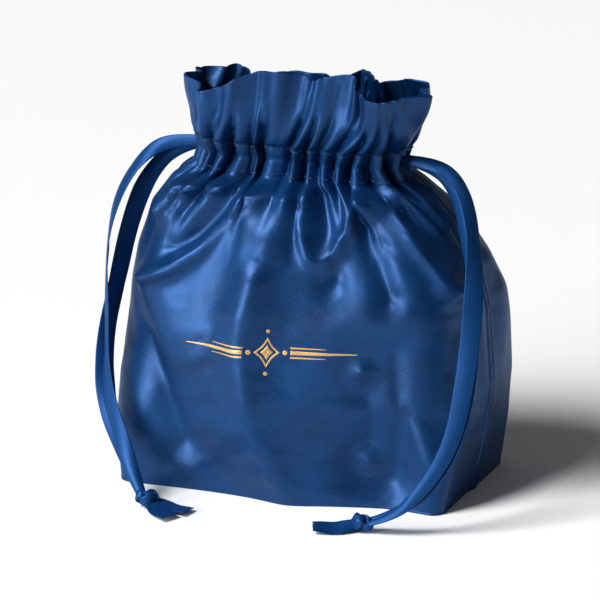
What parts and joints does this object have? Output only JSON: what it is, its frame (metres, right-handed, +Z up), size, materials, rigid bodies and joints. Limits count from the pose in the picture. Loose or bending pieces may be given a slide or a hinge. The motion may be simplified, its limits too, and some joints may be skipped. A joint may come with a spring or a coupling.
{
  "type": "drawstring gift pouch",
  "caption": "Upright satin pouch with a boxed flat base, a gathered drawstring channel, a frill above it and knotted ribbon pulls at each side.",
  "frame": {"origin": "middle of the flat base, on the surface the pouch stands on", "axes": "+Z up the pouch, -Y out of its printed front, +X to the right seen from the front"},
  "size_m": [0.2308, 0.1755, 0.2403],
  "materials": {
    "satin": "satin",
    "ribbon": "satin",
    "thread": "matte",
    "gold_print": "metallic print"
  },
  "bodies": {
    "root": {"front_panel": "satin", "back_panel": "satin", "base_panel": "satin", "left_side_seam": "satin", "right_side_seam": "satin", "front_base_seam": "satin", "back_base_seam": "satin", "left_corner_seam": "satin", "right_corner_seam": "satin", "left_channel_end": "satin", "right_channel_end": "satin", "left_frill_end": "satin", "right_frill_end": "satin", "left_bar_tacks": "thread", "right_bar_tacks": "thread", "printed_ornament": "gold_print"},
    "front_neck": {"front_casing": "satin", "front_facing": "satin", "front_frill": "satin", "front_lower_stitching": "thread", "front_upper_stitching": "thread", "front_left_ribbon_run": "ribbon", "front_right_ribbon_run": "ribbon"},
    "back_neck": {"back_casing": "satin", "back_facing": "satin", "back_frill": "satin", "back_lower_stitching": "thread", "back_upper_stitching": "thread", "back_left_ribbon_run": "ribbon", "back_right_ribbon_run": "ribbon"},
    "left_ribbon": {"left_ribbon_front_tail": "ribbon", "left_ribbon_back_tail": "ribbon", "left_knot": "ribbon", "left_ribbon_ends": "ribbon"},
    "right_ribbon": {"right_ribbon_front_tail": "ribbon", "right_ribbon_back_tail": "ribbon", "right_knot": "ribbon", "right_ribbon_ends": "ribbon"}
  },
  "joints": [
    {"name": "front_neck_draw", "type": "slide", "parent": "root", "child": "front_neck", "axis": [0, 1, 0], "range_m": [-0.004, 0.018]},
    {"name": "back_neck_draw", "type": "slide", "parent": "root", "child": "back_neck", "axis": [0, -1, 0], "range_m": [-0.004, 0.018]},
    {"name": "left_ribbon_pull", "type": "slide", "parent": "root", "child": "left_ribbon", "axis": [-1, 0, 0], "range_m": [-0.008, 0.036]},
    {"name": "right_ribbon_pull", "type": "slide", "parent": "root", "child": "right_ribbon", "axis": [1, 0, 0], "range_m": [-0.008, 0.036]}
  ],
  "couplings": [
    {"joint": "back_neck_draw", "follows": "front_neck_draw", "ratio": 1},
    {"joint": "left_ribbon_pull", "follows": "front_neck_draw", "ratio": 2},
    {"joint": "right_ribbon_pull", "follows": "front_neck_draw", "ratio": 2}
  ]
}
